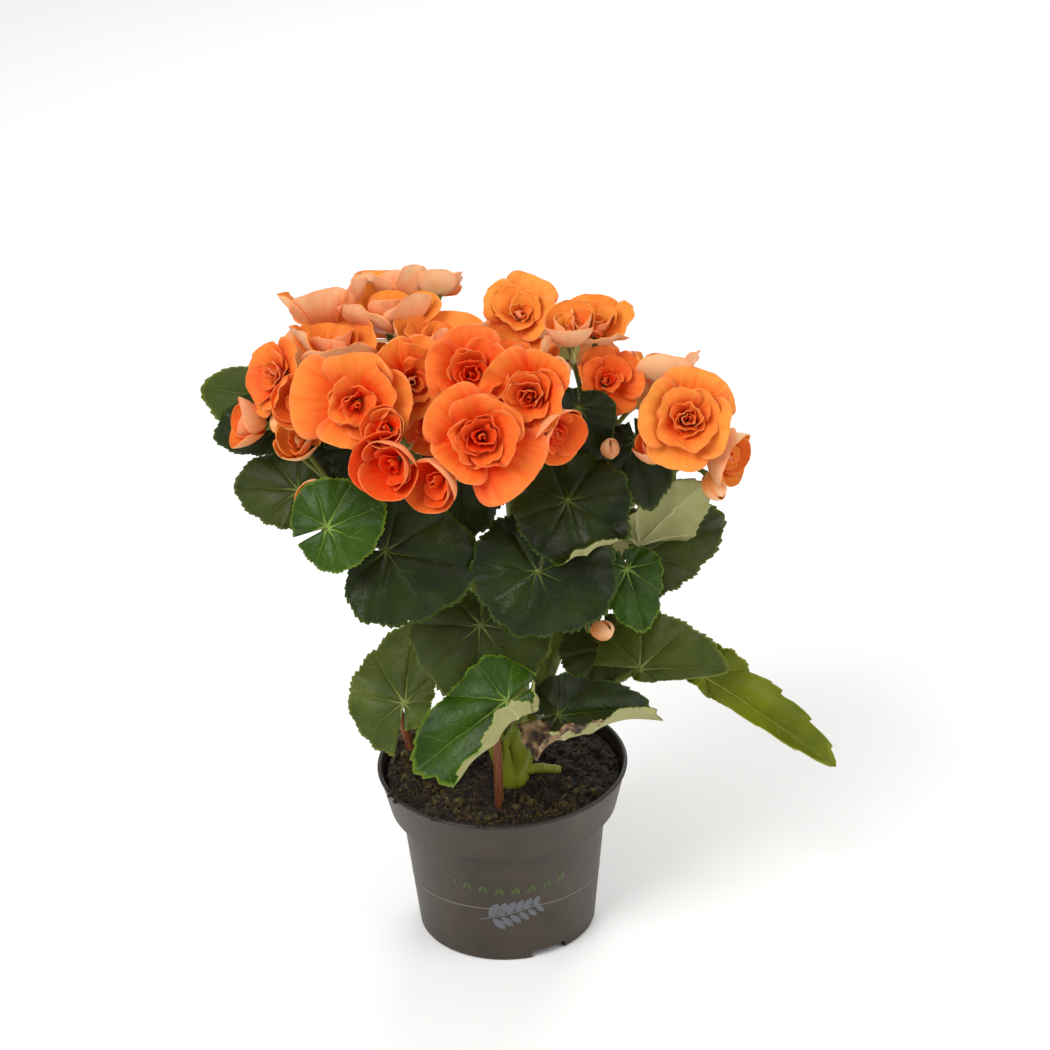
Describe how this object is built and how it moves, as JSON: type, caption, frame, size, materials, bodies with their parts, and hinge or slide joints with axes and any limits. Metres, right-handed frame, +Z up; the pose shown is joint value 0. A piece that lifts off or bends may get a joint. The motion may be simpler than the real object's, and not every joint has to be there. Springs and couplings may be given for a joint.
{
  "type": "potted begonia",
  "caption": "Flowering begonia in a tapered nursery pot: branching stems, toothed leaves, double orange blooms in sprays, and wooden support stakes.",
  "frame": {"origin": "centre of the pot's flat underside, on the surface it stands on", "axes": "+Z up the plant, -Y towards the front of the pot, +X to the right seen from the front"},
  "size_m": [0.3176, 0.2125, 0.3616],
  "materials": {
    "pot": "satin moulded plastic",
    "soil": "moist crumbly peat",
    "stake": "stained round dowel",
    "stem": "fleshy pale green",
    "leaf": "glossy green leaf",
    "petal": "soft satin petal"
  },
  "bodies": {
    "root": {"pot": "pot", "soil": "soil", "stake_front": "stake", "stake_left": "stake", "stems": "stem", "leaf_front_left": "leaf", "leaf_front_middle": "leaf", "leaf_behind_right": "leaf", "leaf_front_right": "leaf", "leaf_front_low": "leaf", "leaf_front_low_right": "leaf", "leaf_middle_grey": "leaf", "leaf_left_low": "leaf", "leaf_right_inner": "leaf", "leaf_right_low": "leaf", "leaf_far_right": "leaf", "leaf_right_bright": "leaf", "leaf_right_curled": "leaf", "leaf_left_third": "leaf", "leaf_left_top": "leaf", "leaf_left_second": "leaf", "leaf_left_dark": "leaf", "leaf_inner_dark": "leaf", "leaf_inner_middle": "leaf", "leaf_high_middle": "leaf", "leaf_high_right": "leaf", "leaf_back_left": "leaf", "leaf_back_middle": "leaf", "leaf_back_right": "leaf", "leaf_back_low": "leaf", "leaf_back_low_left": "leaf", "spray_left_front": "petal", "spray_front_low": "petal", "spray_middle": "petal", "spray_middle_right": "petal", "spray_left_outer": "petal", "spray_left_low": "petal", "spray_left_high": "petal", "spray_top_left": "petal", "spray_back_left": "petal", "spray_top_middle": "petal", "spray_right_top": "petal", "spray_right_inner": "petal", "spray_right_front": "petal", "spray_right_back": "petal", "spray_back_far_left": "petal", "spray_back_middle": "petal", "spray_back_right": "petal", "bud_low": "petal"}
  },
  "joints": []
}
